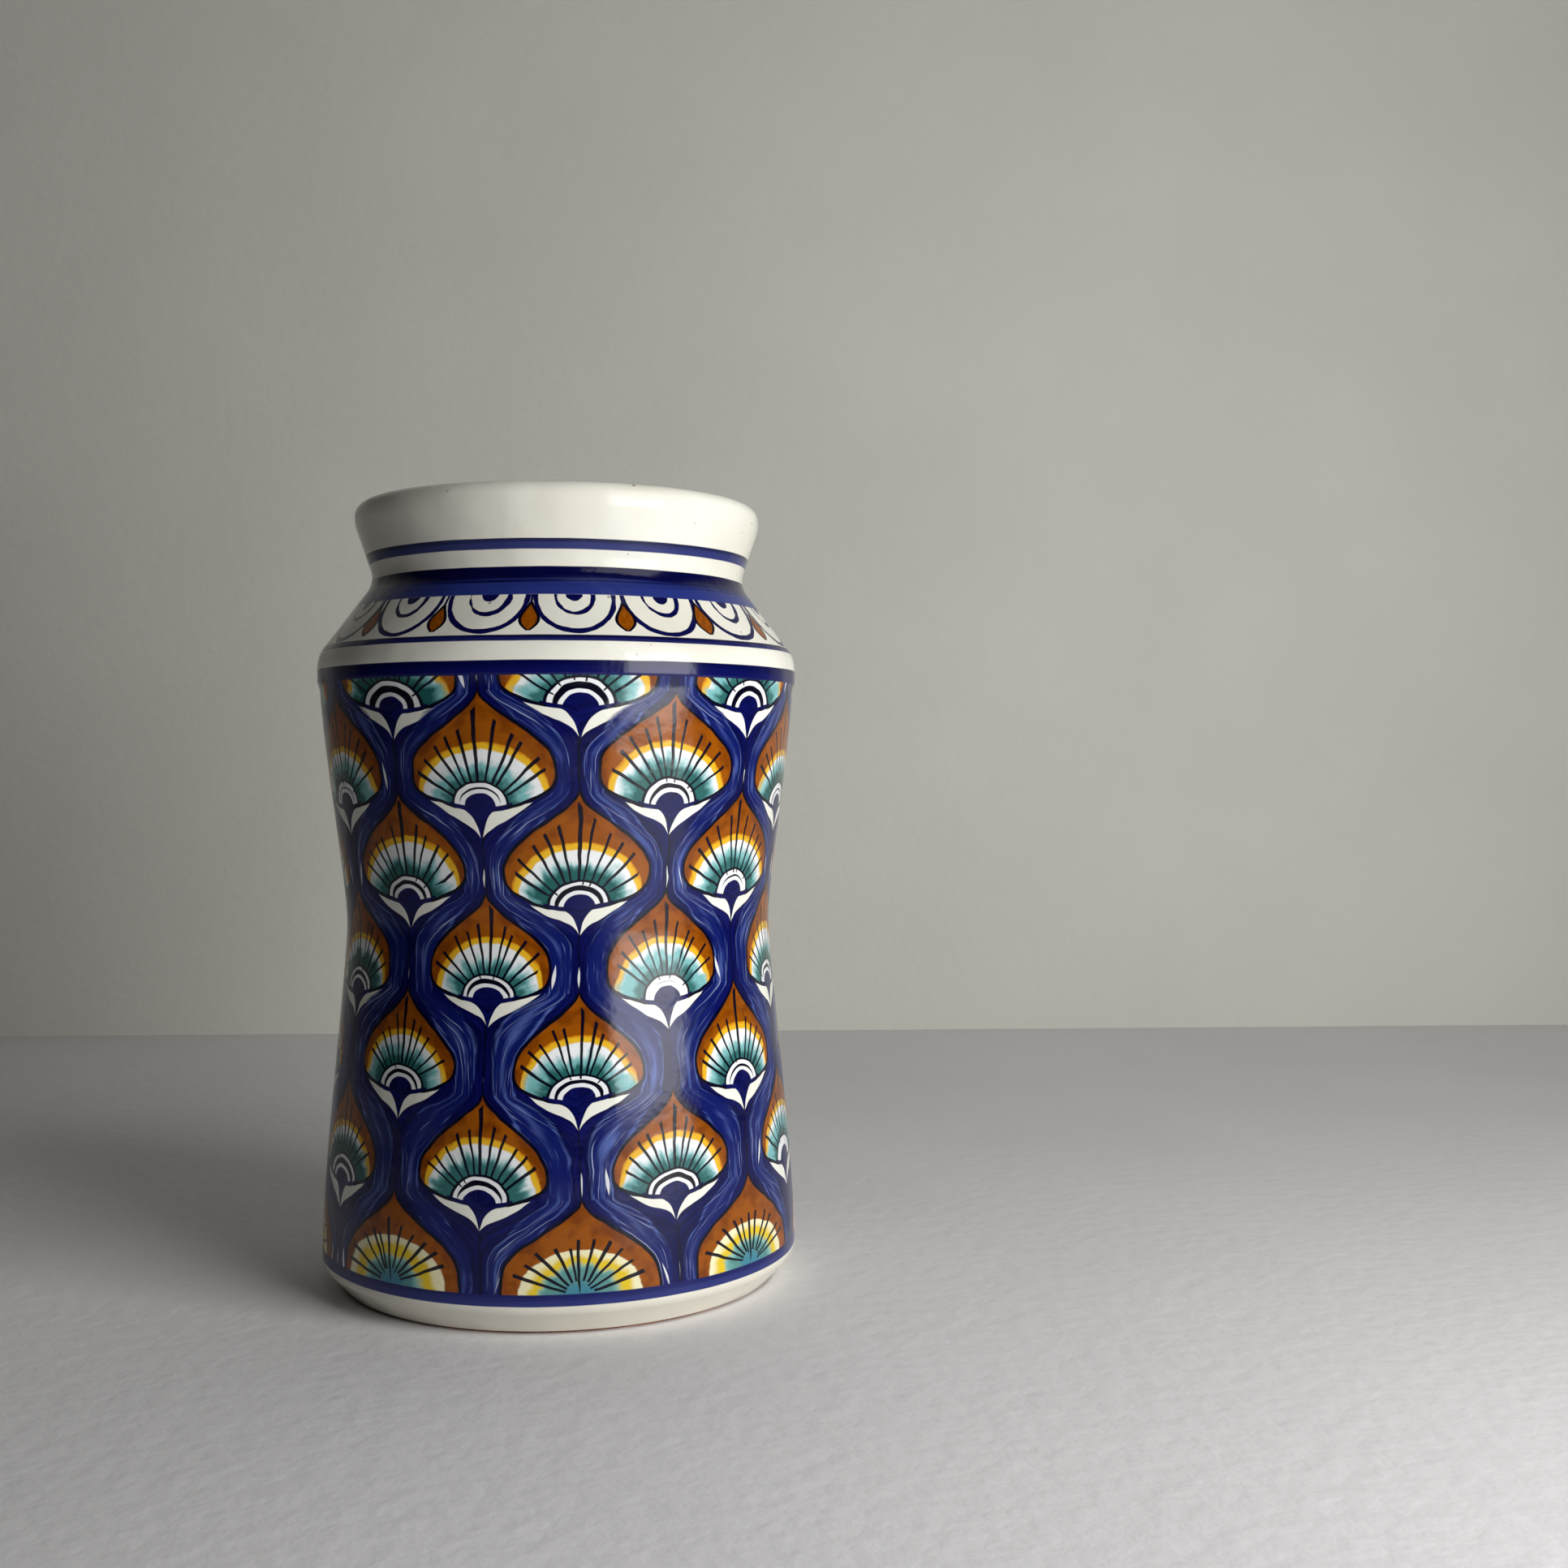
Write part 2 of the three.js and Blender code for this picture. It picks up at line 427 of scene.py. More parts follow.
def cloud(where, scale=1.0, detail=2.0):
    """Soft noise about 0, mostly between -0.25 and 0.25."""
    node = node_for([where], "ShaderNodeTexNoise")
    node.inputs["Scale"].default_value = scale
    node.inputs["Detail"].default_value = detail
    fill(node.inputs["Vector"], where)
    return Field(node.outputs["Fac"]) - 0.5


def cloud_pair(where, scale):
    """Two noises about 0 that don't follow each other."""
    node = node_for([where], "ShaderNodeTexNoise")
    node.inputs["Scale"].default_value = scale
    node.inputs["Detail"].default_value = 1
    fill(node.inputs["Vector"], where)
    red, green, _ = parts(Field(node.outputs["Color"]))
    return red - 0.5, green - 0.5


def chances(x, y, z):
    """Three numbers from 0 to 1 that are drawn afresh for each x, y, z."""
    node = node_for([x, y, z], "ShaderNodeTexWhiteNoise", noise_dimensions="3D")
    fill(node.inputs["Vector"], point(x, y, z))
    return parts(Field(node.outputs["Color"]))


def pigment(red, green, blue):
    """A colour as a screen shows it, from 0 to 255, turned into the light that a socket takes."""
    return tuple((c / 255 / 12.92 if c < 11 else ((c / 255 + 0.055) / 1.055) ** 2.4)
                 for c in (red, green, blue)) + (1.0,)


MIX_AMOUNT, MIX_FIRST, MIX_SECOND, MIX_RESULT = 0, 6, 7, 2  # sockets that a Mix of colours uses


def blended(first, second, amount):
    """The first colour where amount is 0 and the second where it is 1."""
    node = node_for([amount, first, second], "ShaderNodeMix", data_type="RGBA")
    fill(node.inputs[MIX_AMOUNT], amount)
    fill(node.inputs[MIX_FIRST], first)
    fill(node.inputs[MIX_SECOND], second)
    return Field(node.outputs[MIX_RESULT])


# %% The material that is painted on
SPECULAR_LEVEL = 0.3  # lower than Blender's 0.5, because the real glaze mirrors the window weakly


class Paint:
    """A material. After its ground, each wash is laid over what is there already."""

    def __init__(self, name):
        self.material = bpy.data.materials.new(name)
        self.material.use_nodes = True
        tree = self.material.node_tree
        self.shader = tree.nodes["Principled BSDF"]
        self.shader.inputs["Specular IOR Level"].default_value = SPECULAR_LEVEL
        spot = tree.nodes.new("ShaderNodeTexCoord")
        self.spot = Field(spot.outputs["Object"])
        x, y, z = parts(self.spot)
        self.height = z / MM  # above the table, in millimetres
        self.angle = sums("ARCTAN2", x, y * -1)  # in radians: 0 in front, more to the right

    def ground(self, first, second, where):
        """Covers everything: the second colour where the field is 1, and else the first."""
        self.colour = blended(first, second, where)

    def lay(self, wash, where):
        self.colour = blended(self.colour, wash, where)

    def finish(self, relief, depth, roughness):
        """Sets the colour, the gloss and the relief, whose depth is in metres."""
        fill(self.shader.inputs["Base Color"], self.colour)
        fill(self.shader.inputs["Roughness"], roughness)
        bump = node_for([relief], "ShaderNodeBump")
        bump.inputs["Strength"].default_value = 1
        bump.inputs["Distance"].default_value = depth
        fill(bump.inputs["Height"], relief)
        fill(self.shader.inputs["Normal"], Field(bump.outputs[0]))
        print(self.material.name, "has", len(self.material.node_tree.nodes), "nodes")
        return self.material


# %% [markdown]
# ## White tin glaze
# Tin makes the glaze white and opaque. It pools a little, so it is never quite flat or quite one
# white: it is warmer where it lies thin. All painted materials start from this ground.

# %% The white ground and its pooling
WHITE = pigment(240, 239, 229)
THIN_WHITE = pigment(226, 221, 203)
FOOT_WHITE = pigment(224, 219, 205)
SPECK = pigment(96, 62, 40)
GLAZE_ROUGHNESS, PAINTED_ROUGHER = 0.14, 0.03
GLAZE_RELIEF = 0.0010  # metres


def white_glaze(name):
    paint = Paint(name)
    thin = over(cloud(paint.spot, 26), 0.02, 0.22)
    paint.ground(WHITE, THIN_WHITE, thin * 0.5)
    specks = over(cloud(paint.spot, 520, 0), 0.365, 0.01)
    paint.lay(SPECK, specks * 0.6)
    return paint


def glazed(paint, painted):
    """Gives a painted glaze its gloss and relief: slow pooling and a fine ripple over it."""
    relief = cloud(paint.spot, 48, 1) + cloud(paint.spot, 210, 2) * 0.14
    patchy = cloud(paint.spot, 90, 2) * 0.05
    return paint.finish(relief, GLAZE_RELIEF, painted * PAINTED_ROUGHER + patchy + GLAZE_ROUGHNESS)


# %% [markdown]
# ## The peacock feathers
# The wall is covered with a lattice of blue ribbons. Each ribbon winds down the jar in an S,
# now close to one line, now close to the next, and between two of them lies a feather over a
# dark pointed ground. There are 8 columns, and every other row is set half a column aside. So
# the jar divides into 16 strips with one ribbon in each, and the place across a strip and down a
# row is all that the painting needs. The lengths in this cell are in millimetres on a flat
# drawing of the pattern, in which a column is 57 wide and a row 28.5 high.

# %% The lattice
COLUMNS, STRIPS = 8, 16
STRIP, ROW = 28.5, 28.5
FRONT_COLUMN = math.radians(4.2)  # the front column stands a little to the right of the middle
SECOND_TIP_HEIGHT, ROW_HEIGHT = 187.6, 29.4  # on the jar
FEATHER_HALF, WIDEST_BELOW_TIP = 22.2, 21.3
EDGE_POWER, EDGE_SLOPE = 0.87, 1.6  # how early a feather swells, and its steepest edge
SLIM_HALF, SLIM_FROM_ROW, SLIM_TO_ROW = 19.4, 4.3, 7.15  # lower down the feathers are slimmer
NARROWEST = 0.08  # the share by which the narrowest feather of a row is slimmer
SWAY_ACROSS, SWAY_DOWN, SHAKE = 0.06, 0.14, 0.03  # how far the hand strays, in strips and rows


class Lattice:
    """Where a point lies in its strip, its row and its feather."""

    def __init__(self, paint):
        sway_x, sway_y = cloud_pair(paint.spot, 24)
        shake_x, shake_y = cloud_pair(paint.spot, 170)
        strips = (paint.angle - FRONT_COLUMN) * (COLUMNS / math.pi) + COLUMNS
        strips = strips + sway_x * SWAY_ACROSS + shake_x * SHAKE
        rows = (SECOND_TIP_HEIGHT - paint.height) / ROW_HEIGHT + 2
        rows = rows + sway_y * SWAY_DOWN + shake_y * SHAKE
        strip, row = sums("FLOOR", strips), sums("FLOOR", rows)
        across, self.down = strips - strip, rows - row
        flip = sums("MODULO", strip + row + 5, 2)  # 0 and 1 by turns; 5 keeps the sum positive
        side = flip * -2 + 1
        aside = mix(across, 1 - across, flip) * STRIP

        slim = over(rows, SLIM_FROM_ROW, 0.5) * below(rows, SLIM_TO_ROW, 0.3)
        half = mix(FEATHER_HALF, SLIM_HALF, slim)
        self.slimness = half / FEATHER_HALF
        self.ribbon_middle = (half * -1 + STRIP) * 0.5  # from the edge of the feather
        wave = sums("MINIMUM", self.down * (ROW / WIDEST_BELOW_TIP), 1) ** EDGE_POWER * math.pi
        edge = (1 - sums("COSINE", wave)) * half * 0.5
        self.bow = sums("SINE", self.down * math.pi)
        narrow = chances(strip, row, 3)[0]
        edge = edge * (1 - self.bow * self.bow * narrow * NARROWEST)  # no two feathers are as wide
        slope = sums("SINE", wave) * EDGE_SLOPE
        off = (aside - edge) / sums("SQRT", slope * slope + 1)
        self.off = off  # from the edge of the feather, out into the ribbon
        self.inside = abs(off - self.ribbon_middle) - self.ribbon_middle  # in from either edge
        self.brushed = (off - self.ribbon_middle) * side  # the same on both sides of a bend
        self.to_next_axis = STRIP - aside
        self.under = over(off - self.ribbon_middle, 0, 0.0001)  # 1 in the ground under the fans
        near = mix(flip, 1 - flip, self.under)
        self.x = (across - near) * STRIP  # from the axis of its feather
        self.y = (self.down + self.under) * ROW  # down from the tip of its feather
        self.row = row - self.under
        self.column = sums("MODULO", strip + near + STRIPS, STRIPS)
        self.strip = sums("MODULO", strip + STRIPS, STRIPS)
        self.rows = rows


print(f"{COLUMNS} columns, {2 * math.pi * WAIST_RADIUS / COLUMNS:.1f} mm wide at the waist")


# %% [markdown]
# ## Colours
# The painter has four colours from metal oxides: cobalt blue, orange-brown and yellow, and a
# green-blue from copper. Outlines are cobalt laid on so thick that it fires nearly black.

# %% The palette
INK = pigment(4, 4, 24)
NIGHT_BLUE = pigment(4, 7, 62)
COBALT = pigment(11, 16, 88)
RIBBON_BLUE = pigment(14, 26, 97)
LIGHT_BLUE = pigment(92, 115, 186)
PALE_BLUE = pigment(176, 190, 224)
ORANGE = pigment(151, 80, 5)
BROWN_ORANGE = pigment(121, 58, 2)
AMBER = pigment(214, 140, 18)
YELLOW = pigment(234, 184, 40)
LEMON = pigment(232, 200, 40)
FAN_WHITE = pigment(240, 242, 244)
CREAM = pigment(244, 238, 196)
LEAF_WHITE = pigment(241, 241, 230)
PALE_TEAL = pigment(102, 178, 180)
TEAL = pigment(0, 80, 76)
SKY = pigment(40, 122, 160)

# %% [markdown]
# ## One feather, wash over wash
# From outside in, a feather has orange-brown, a yellow ring, white, then green-blue that runs
# out into the white like watercolour. Dark rays fan out from the eye. The eye is two white arcs
# round a blue core, and two white leaves hang under it. The row along the foot has no room for
# an eye, so its rings close round the middle of the fan. Every feather draws its own chances, so
# that no two are alike.

# %% Where a point lies in its feather
EYE_BELOW_TIP, LAST_EYE_BELOW_TIP = 30.6, 26.0
EYE_HALF_WIDTH, EYE_HEIGHT = 8.5, 6.2
YELLOW_HALF_WIDTH, YELLOW_HEIGHT = 21.0, 17.2
LAST_ROW, LAST_HALF_WIDTH, LAST_HEIGHT = 7, 17.8, 12.7
FAN_BOTTOM, FAN_BOTTOM_BEND, LAST_FAN_DEEPER = 32.0, 0.0138, 8


class Fan:
    """Where a point lies in the fan of its feather, measured from the middle of the eye."""

    def __init__(self, at):
        self.luck = chances(at.column, at.row, 1)
        shift = chances(at.column, at.row, 2)
        self.last = over(at.row, LAST_ROW - 0.5, 0.1)
        higher = at.row * -0.9 + 3.0  # the painter set the eyes ever higher towards the foot
        low = ((shift[1] - 0.5) * 1.6 + higher) * (1 - self.last)
        self.x = at.x - (shift[0] - 0.5) * 1.3
        self.y = at.y - low
        self.up = mix(EYE_BELOW_TIP, LAST_EYE_BELOW_TIP, self.last) - self.y
        size = mix(0.96, 1.04, shift[2])
        ring_half = mix(at.slimness * YELLOW_HALF_WIDTH, LAST_HALF_WIDTH, self.last)
        self.ring = hypot(self.x / (ring_half * size),
                          self.up / (mix(YELLOW_HEIGHT, LAST_HEIGHT, self.last) * size))
        bold = below(at.row, 1.5, 0.1) * 0.2 + 1  # the half feathers at the top have bigger eyes
        self.eye = hypot(self.x / (mix(0.90, 1.13, self.luck[0]) * bold * EYE_HALF_WIDTH),
                         self.up / (mix(0.95, 1.06, self.luck[1]) * bold * EYE_HEIGHT))
        bottom = FAN_BOTTOM - FAN_BOTTOM_BEND * self.x * self.x + self.last * LAST_FAN_DEEPER
        self.over_bottom = (bottom - self.y) * 0.93  # 0.93 because the bottom line leans
        self.inner = sums("SMOOTH_MIN", at.inside, self.over_bottom, 5)
        from_below = self.up + (shift[2] * 3.2 + 0.2) * (1 - self.last)
        self.theta = sums("ARCTAN2", self.x, from_below)
        self.far = hypot(self.x, from_below)


# %% The rings of the fan
WHITE_EDGE, LAST_WHITE_EDGE = 0.885, 1.01  # where the yellow ring is 1


def paint_rings(paint, at, fan):
    """Orange-brown all over, then a yellow ring, and white inside it."""
    fan.ragged = cloud(point(fan.theta * 5.5, at.column * 2.3, at.row), 1.0, 2)
    dabbed = cloud(point(fan.theta * 4.0, fan.far * 0.22, at.column * 3.7 + at.row), 1.0, 2)
    fan.dabbed = dabbed
    paint.ground(BROWN_ORANGE, ORANGE, over(dabbed * 1.2 + fan.inner * 0.045, 0.06, 0.2))
    beside = (1.9 - at.inside) * 0.09 + 1  # keeps the rings off the sides of a slim feather
    ring = sums("SMOOTH_MAX", fan.ring, beside, 0.08) + fan.ragged * 0.06
    yellow = blended(YELLOW, AMBER, over(ring + dabbed * 0.12, 0.98, 0.03))
    paint.lay(yellow, below(ring, 1.0, 0.014))
    white_edge = mix(WHITE_EDGE, LAST_WHITE_EDGE, fan.last)
    paint.lay(blended(FAN_WHITE, CREAM, fan.last), below(ring + dabbed * 0.05, white_edge, 0.018))
    lemon = below(abs(ring + dabbed * 0.25 - 0.72), 0.14, 0.08)
    paint.lay(LEMON, lemon * fan.last)


def paint_teal(paint, at, fan):
    """Green-blue that runs out from the eye: a pale wash, a deep one, and sky blue at the foot."""
    wet = mix(fan.eye + fan.ragged * 0.9 + fan.dabbed * 0.8, fan.ring * 3.1 + fan.dabbed, fan.last)
    pale = below(wet, mix(1.82, 2.15, fan.luck[2]), 0.24)
    paint.lay(PALE_TEAL, pale * 0.9)
    deep = below(wet, mix(1.46, 1.86, fan.luck[1]), 0.22) * mix(0.82, 1.0, fan.luck[0])
    paint.lay(TEAL, deep * (1 - fan.last * 0.45))
    sky = below(fan.ring + fan.dabbed * 0.5, 0.30, 0.12)
    paint.lay(SKY, sky * fan.last * 0.6)


# %% The pointed ground round and under the fan
def paint_ground(paint, at, fan):
    """Streaky dark blue, with a darker stem where it runs out in a point."""
    fan.streaks = cloud(point(at.brushed * 1.25, at.rows * 1.6, at.strip * 5.3), 1.0, 3)
    fan.ground = blended(NIGHT_BLUE, COBALT, over(fan.streaks, 0.0, 0.12))
    paint.lay(fan.ground, below(fan.inner, 0, 0.1))
    stem = below(abs(at.x + fan.streaks * 1.2), 0.36, 0.2) * over(at.y, 38.0, 0.8)
    paint.lay(INK, stem * at.under * 0.7)


# %% The eye and its two leaves
INNER_ARC_WIDTH, INNER_ARC_LOWER = 0.75, 0.9  # a share of the eye's, and millimetres


def paint_eye(paint, at, fan):
    """A dark outline, two white arcs and a blue core."""
    here = over(fan.over_bottom, 0.5, 0.12) * (1 - fan.last)
    uneven = cloud(point(fan.theta * 1.6, at.column, at.row * 1.7), 1.0, 1) * 0.08
    outer = fan.eye + uneven
    inner_height = mix(0.60, 0.71, fan.luck[2]) * EYE_HEIGHT + INNER_ARC_LOWER
    inner = hypot(fan.x / (EYE_HALF_WIDTH * INNER_ARC_WIDTH),
                  (fan.up + INNER_ARC_LOWER) / inner_height) + uneven
    thick = (fan.luck[2] - 0.4) * 0.15
    foot = below(outer, 1.22, 0.03) * below(fan.over_bottom, 0.62, 0.1) * (1 - fan.last)
    paint.lay(fan.ground, foot)  # the eye stands on the dark ground
    paint.lay(INK, below(outer, 1.11, 0.03) * here)
    paint.lay(fan.ground, below(inner, 0.8, 0.02) * here)
    arcs = below(outer, 1.0, 0.016) * over(outer, 0.81 - thick, 0.016)
    arcs = arcs + below(inner, 1.0, 0.02) * over(inner, 0.77, 0.02)
    paint.lay(FAN_WHITE, arcs * here)


LEAF_TIP, LEAF_DEEP, LEAF_LENGTH, LEAF_WIDTH = 15.6, 29.8, 18.6, 3.9
LEAF_RUN, LEAF_DROP = 0.836, 0.549  # the direction of a leaf, from its outer tip inwards


def paint_leaves(paint, at, fan):
    """Two crescents that hang under the fan and meet in a point below the eye."""
    luck = chances(at.column, at.row, sums("SIGN", fan.x) + 9)
    longer = (luck[0] - 0.5) * 2.6
    out = LEAF_TIP + longer - abs(fan.x)
    down = fan.y - LEAF_DEEP + longer * 0.35
    along = (out * LEAF_RUN + down * LEAF_DROP) / (LEAF_LENGTH + longer)
    along = sums("MINIMUM", sums("MAXIMUM", along, 0), 1)
    up = out * LEAF_DROP - down * LEAF_RUN
    top = sums("SINE", (along ** 1.4) * math.pi) * (LEAF_WIDTH + (luck[1] - 0.5) * 0.9)
    hollow = sums("SINE", (along ** 2.4) * math.pi) * mix(0.8, 1.7, luck[2])
    belly = sums("SINE", along * math.pi) * 0.6
    leaf = below(up, top - 0.1, 0.12) * over(up, hollow - belly + 0.1, 0.12)
    under_the_fan = below(fan.over_bottom, -0.75, 0.12) * (1 - fan.last)
    paint.lay(LEAF_WHITE, leaf * under_the_fan)


# %% The rays
RAY_GAP, LAST_RAY_GAP = math.radians(11.6), math.radians(15)
OUTER_RAY = 5  # counted from the middle one, to either side
RAY_NUMBERS = 16  # set aside for each column, so that no two rays share their luck


def paint_rays(paint, at, fan):
    """Dark strokes of the liner brush, thin at the eye and wider further out."""
    ray_gap = mix(RAY_GAP, LAST_RAY_GAP, fan.last)
    number = sums("ROUND", fan.theta / ray_gap)
    luck = chances(at.column * RAY_NUMBERS + number, at.row, 5)
    lean = fan.theta - (number + (luck[0] - 0.5) * 0.45) * ray_gap
    middle = below(abs(number), 0.5, 0.1)
    wide = fan.far * 0.014 + 0.11 + luck[2] * 0.14 + sums("MAXIMUM", middle, fan.last) * 0.1
    ray = below(abs(lean) * fan.far, wide, 0.08)
    short = mix(1.2, 3.2, luck[1]) * (1 - middle * 0.55)
    ray = ray * over(fan.inner, short, 0.15) * below(abs(number), OUTER_RAY + 0.5, 0.1)
    # Only in the last row do the rays stop at the yellow ring: 9 puts that end out of reach
    end = mix(1.06, 1.28, luck[1]) + middle * 0.12
    ray = ray * below(fan.ring - (1 - fan.last) * 9, end, 0.02)
    start = mix(1.06, 0.86, below(luck[2], 0.2, 0.01)) * (1 - middle * fan.last)
    ray = ray * over(mix(fan.eye, fan.far * 0.26, fan.last), start, 0.04)
    paint.lay(INK, ray * 0.985)


# %% The ribbons, stroke by stroke
def paint_ribbons(paint, at, fan):
    """A blue body with a lighter middle, light edges, scratches and a dark rim."""
    streaks = fan.streaks
    fine = cloud(point(at.brushed * 3.0, at.rows * 1.7, at.strip * 7.9), 1.0, 2)
    fan.fine = fine
    wander, loaded = cloud_pair(point(at.rows * 2.6, at.strip * 4.1, 0.5), 1.0)
    # The ribbon stays wide of each tip, and close round each shoulder
    swing = sums("COSINE", at.down * math.pi) ** 3 * 2.1 + at.bow * (2.5 - at.bow * 3.6)
    centre = (at.off - at.ribbon_middle - swing + wander * 1.6) / (at.slimness * -3 + 4)
    clear = below(fan.inner, -0.1, 0.15)  # keeps the strokes off the feathers
    body = below(abs(centre) + streaks * 1.5, 2.1, 0.6) * clear
    paint.lay(RIBBON_BLUE, body * over(streaks, -0.20 - loaded * 0.3, 0.14))
    glow = below(abs(centre) + streaks * 2.6, loaded * 2.0 + 0.1, 0.7)
    paint.lay(LIGHT_BLUE, glow * clear * (0.36 + loaded * 1.1))
    trim = below(abs(abs(centre) - 2.1 - streaks * 1.2), 0.20, 0.2) * over(fine + loaded, 0.0, 0.12)
    paint.lay(LIGHT_BLUE, trim * clear * 0.75)
    scratch = over(fine + streaks * 0.5, 0.19 - loaded * 0.12, 0.05)
    paint.lay(PALE_BLUE, scratch * clear * below(abs(centre), 2.0, 0.4) * 0.65)
    rim = below(abs(centre - 2.3 - fine), 0.30, 0.25) * over(loaded, 0.0, 0.12)
    paint.lay(INK, rim * 0.5)


# %% White that the brush missed, and the outline of the feather
GAP_FROM, GAP_LENGTH = 0.70, 0.28  # as shares of a row
GAP_MIDDLE = GAP_FROM + GAP_LENGTH / 2


def paint_gaps(paint, at, fan):
    """A white sliver beside some feathers, and one over the tip of some of those below."""
    luck = chances(at.strip, sums("FLOOR", at.rows), 3)
    along = sums("MINIMUM", sums("MAXIMUM", (at.down - GAP_FROM) / GAP_LENGTH, 0), 1)
    swell = sums("SINE", along * math.pi)
    slant = (at.down - GAP_MIDDLE) * (luck[2] - 0.5) * 16
    sliver_half = swell * mix(-0.7, 0.75, luck[1]) - 0.08
    sliver = below(abs(at.off - 1.9 - (luck[0] - 0.5) * 1.4 + slant), sliver_half, 0.08)
    paint.lay(FAN_WHITE, sliver * 0.85)
    gap_half = swell * mix(-0.7, 1.0, luck[2]) - 0.35
    paint.lay(FAN_WHITE, below(at.to_next_axis + fan.fine, gap_half, 0.1) * 0.8)


def paint_outline(paint, at, fan):
    """The dark line round the feather, which comes last."""
    outline = below(abs(fan.inner + 0.40 + fan.fine * 0.5), 0.44, 0.13)
    paint.lay(INK, outline * over(fan.eye, 1.02, 0.04))


# %% Lines that are banded on while the jar turns
def banding(paint, top, bottom, dark, light, split=0.55):
    """A line that is dark above and lighter below; split is where, as a share from its bottom."""
    height = paint.height + cloud(point(paint.angle * 2.1, 0.5, top), 1.0, 2) * 0.5
    stroke = cloud(point(paint.angle * 1.3, height * 1.7, top), 1.0, 3)
    middle = bottom + (top - bottom) * split
    lighter = below(height + stroke * (top - bottom) * 0.9, middle, (top - bottom) * 0.22)
    line = below(height, top, 0.14) * over(height, bottom, 0.16)
    paint.lay(blended(dark, light, lighter), line)
    return line


# %% The whole wall
FIELD_TOP, BAND_TOP = 192.4, 196.2
FIELD_BOTTOM, LINE_BOTTOM = 12.85, 9.85
FOOT_SHADE_TOP = 9.8  # the white is greyer under this height
OVERLAP = 0.5  # the band and the line reach this far over the feathers
BAND_DARK, BAND_LIGHT = pigment(5, 9, 68), pigment(12, 16, 84)
FOOT_LINE_DARK, FOOT_LINE_LIGHT = pigment(22, 28, 94), pigment(44, 52, 118)


def painted_wall():
    paint = white_glaze("peacock feather painting")
    white = paint.colour
    at = Lattice(paint)
    fan = Fan(at)
    for step_of_painting in (paint_rings, paint_teal, paint_ground, paint_eye, paint_leaves,
                             paint_rays, paint_ribbons, paint_gaps, paint_outline):
        step_of_painting(paint, at, fan)
    pattern = paint.colour
    field = below(paint.height, FIELD_TOP, 0.1) * over(paint.height, FIELD_BOTTOM, 0.1)
    paint.ground(white, FOOT_WHITE, below(paint.height, FOOT_SHADE_TOP, 3) * 0.8)
    paint.lay(pattern, field)
    band = banding(paint, BAND_TOP, FIELD_TOP - OVERLAP, BAND_DARK, BAND_LIGHT)
    line = banding(paint, FIELD_BOTTOM + OVERLAP, LINE_BOTTOM, FOOT_LINE_DARK, FOOT_LINE_LIGHT)
    return glazed(paint, sums("MAXIMUM", field, sums("MAXIMUM", band, line)))


wall_paint = painted_wall()

# %% [markdown]
# ## The shoulder and the neck
# The shoulder carries a border of hanging white lobes, each with a smaller lobe and half a dot
# in it, and an orange drop between each pair: a painted egg and dart. Sixteen lobes stand over
# the eight columns. Above it come a broad blue band and one line, both banded on the wheel.

# %% The border and the neck bands
LOBES, LOBE_SPACING = 16, 27.5
LOBE_HALF, LOBE_DEPTH = 12.2, 14.45
SMALL_LOBE_HALF, SMALL_LOBE_DEPTH, DOT_RADIUS = 6.0, 7.2, 2.6
LINE_BLUE = pigment(10, 12, 72)


def hanging(x, y, half_width, depth):
    """1 on the outline of a hanging lobe and less inside it."""
    return hypot(x / half_width, sums("MAXIMUM", y, 0) / depth)


def paint_lobes(paint, turn, deep):
    """A big lobe, a small one in it and half a dot; turn counts lobes, deep is in millimetres."""
    number = sums("ROUND", turn)
    which = sums("MODULO", number + 2 * LOBES, LOBES)
    luck, more = chances(which, 1, 1), chances(which, 2, 1)
    x = (turn - number) * LOBE_SPACING - (luck[0] - 0.5) * 0.9
    pressed = cloud(point(turn * 6, deep * 0.35, 0.5), 1.0, 1)
    big = hanging(x, deep, LOBE_HALF + (luck[2] - 0.5) * 1.0, LOBE_DEPTH + (luck[1] - 0.5) * 0.8)
    paint.lay(LINE_BLUE, below(abs(big - 1) * 12, 0.74 + pressed * 0.7, 0.12))
    small_x = x - (luck[2] - 0.5) * 1.2
    small = hanging(small_x, deep, SMALL_LOBE_HALF + (more[0] - 0.5),
                    SMALL_LOBE_DEPTH + (more[1] - 0.5) * 1.4)
    paint.lay(LINE_BLUE, below(abs(small - 1) * 6.4, 0.66 + pressed * 1.0 + small_x * 0.04, 0.12))
    dot = hypot(small_x - (more[2] - 0.5), deep * 0.95)
    paint.lay(LINE_BLUE, below(dot + pressed * 1.6, DOT_RADIUS, 0.12))


# %% The drops between the lobes
DROP_BOTTOM, DROP_OUTLINE = 14.2, 0.55


